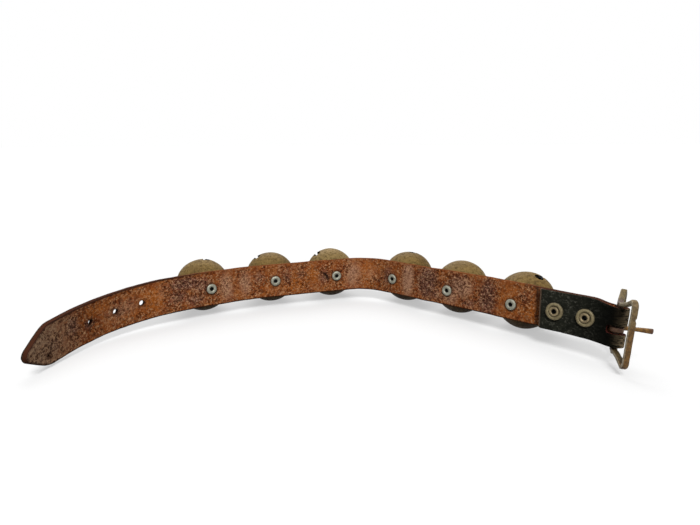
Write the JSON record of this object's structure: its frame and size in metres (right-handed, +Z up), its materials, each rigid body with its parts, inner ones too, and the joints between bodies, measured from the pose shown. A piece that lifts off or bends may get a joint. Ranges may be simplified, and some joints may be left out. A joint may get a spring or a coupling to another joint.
{
  "type": "sleigh bell strap",
  "caption": "Leather strap with a row of riveted brass crotal bells, a pointed tip with buckle holes, and a folded end that holds a swinging buckle and tongue.",
  "frame": {"origin": "under the middle of the part, on the surface that the bells stand on", "axes": "+X along the strap from its tip to its buckle, +Y away from its flesh side towards the bells, +Z up"},
  "size_m": [0.362, 0.1888, 0.0449],
  "materials": {
    "leather": "worn, flesh side out",
    "bell_brass": "aged, matt",
    "rivet_metal": "dull, rolled end",
    "pellet_steel": "plain",
    "fold_brass": "aged, matt",
    "buckle_metal": "worn, with grey and golden patches"
  },
  "bodies": {
    "strap_body": {"strap": "leather", "bell_rivet_1": "rivet_metal", "bell_rivet_2": "rivet_metal", "bell_rivet_3": "rivet_metal", "bell_rivet_4": "rivet_metal", "bell_rivet_5": "rivet_metal", "bell_rivet_6": "rivet_metal", "fold_rivet_1": "fold_brass", "fold_rivet_2": "fold_brass", "fold_washer_1": "fold_brass", "fold_washer_2": "fold_brass"},
    "bell_1": {"bell_shell_1": "bell_brass"},
    "pellet_1": {"bell_pellet_1": "pellet_steel"},
    "bell_2": {"bell_shell_2": "bell_brass"},
    "pellet_2": {"bell_pellet_2": "pellet_steel"},
    "bell_3": {"bell_shell_3": "bell_brass"},
    "pellet_3": {"bell_pellet_3": "pellet_steel"},
    "bell_4": {"bell_shell_4": "bell_brass"},
    "pellet_4": {"bell_pellet_4": "pellet_steel"},
    "bell_5": {"bell_shell_5": "bell_brass"},
    "pellet_5": {"bell_pellet_5": "pellet_steel"},
    "bell_6": {"bell_shell_6": "bell_brass"},
    "pellet_6": {"bell_pellet_6": "pellet_steel"},
    "buckle": {"buckle_frame": "buckle_metal"},
    "tongue": {"buckle_tongue": "buckle_metal"}
  },
  "joints": [
    {"name": "bell_1_turn", "type": "hinge", "parent": "strap_body", "child": "bell_1", "pos_m": [-0.11277, 0.03418, 0.02038], "axis": [-0.5357, 0.8409, -0.0767], "continuous": true},
    {"name": "pellet_1_roll", "type": "hinge", "parent": "bell_1", "child": "pellet_1", "pos_m": [-0.11277, 0.03418, 0.02038], "axis": [-0.5357, 0.8409, -0.0767], "continuous": true},
    {"name": "bell_2_turn", "type": "hinge", "parent": "strap_body", "child": "bell_2", "pos_m": [-0.06265, 0.05835, 0.02038], "axis": [-0.3246, 0.9427, -0.0767], "continuous": true},
    {"name": "pellet_2_roll", "type": "hinge", "parent": "bell_2", "child": "pellet_2", "pos_m": [-0.06265, 0.05835, 0.02038], "axis": [-0.3246, 0.9427, -0.0767], "continuous": true},
    {"name": "bell_3_turn", "type": "hinge", "parent": "strap_body", "child": "bell_3", "pos_m": [-0.01318, 0.07397, 0.02038], "axis": [-0.2765, 0.9579, -0.0767], "continuous": true},
    {"name": "pellet_3_roll", "type": "hinge", "parent": "bell_3", "child": "pellet_3", "pos_m": [-0.01318, 0.07397, 0.02038], "axis": [-0.2765, 0.9579, -0.0767], "continuous": true},
    {"name": "bell_4_turn", "type": "hinge", "parent": "strap_body", "child": "bell_4", "pos_m": [0.05285, 0.05861, 0.02038], "axis": [0.6697, 0.7386, -0.0767], "continuous": true},
    {"name": "pellet_4_roll", "type": "hinge", "parent": "bell_4", "child": "pellet_4", "pos_m": [0.05285, 0.05861, 0.02038], "axis": [0.6697, 0.7386, -0.0767], "continuous": true},
    {"name": "bell_5_turn", "type": "hinge", "parent": "strap_body", "child": "bell_5", "pos_m": [0.09046, 0.02526, 0.02038], "axis": [0.6515, 0.7548, -0.0767], "continuous": true},
    {"name": "pellet_5_roll", "type": "hinge", "parent": "bell_5", "child": "pellet_5", "pos_m": [0.09046, 0.02526, 0.02038], "axis": [0.6515, 0.7548, -0.0767], "continuous": true},
    {"name": "bell_6_turn", "type": "hinge", "parent": "strap_body", "child": "bell_6", "pos_m": [0.12879, -0.01012, 0.02038], "axis": [0.6988, 0.7111, -0.0767], "continuous": true},
    {"name": "pellet_6_roll", "type": "hinge", "parent": "bell_6", "child": "pellet_6", "pos_m": [0.12879, -0.01012, 0.02038], "axis": [0.6988, 0.7111, -0.0767], "continuous": true},
    {"name": "buckle_swing", "type": "hinge", "parent": "strap_body", "child": "buckle", "pos_m": [0.16227, -0.07314, 0.02362], "axis": [0.0784, 0.0533, 0.9955], "range_deg": [-95, 42]},
    {"name": "tongue_swing", "type": "hinge", "parent": "buckle", "child": "tongue", "pos_m": [0.16215, -0.07322, 0.02212], "axis": [0.0784, 0.0533, 0.9955], "range_deg": [-60, 12]}
  ]
}
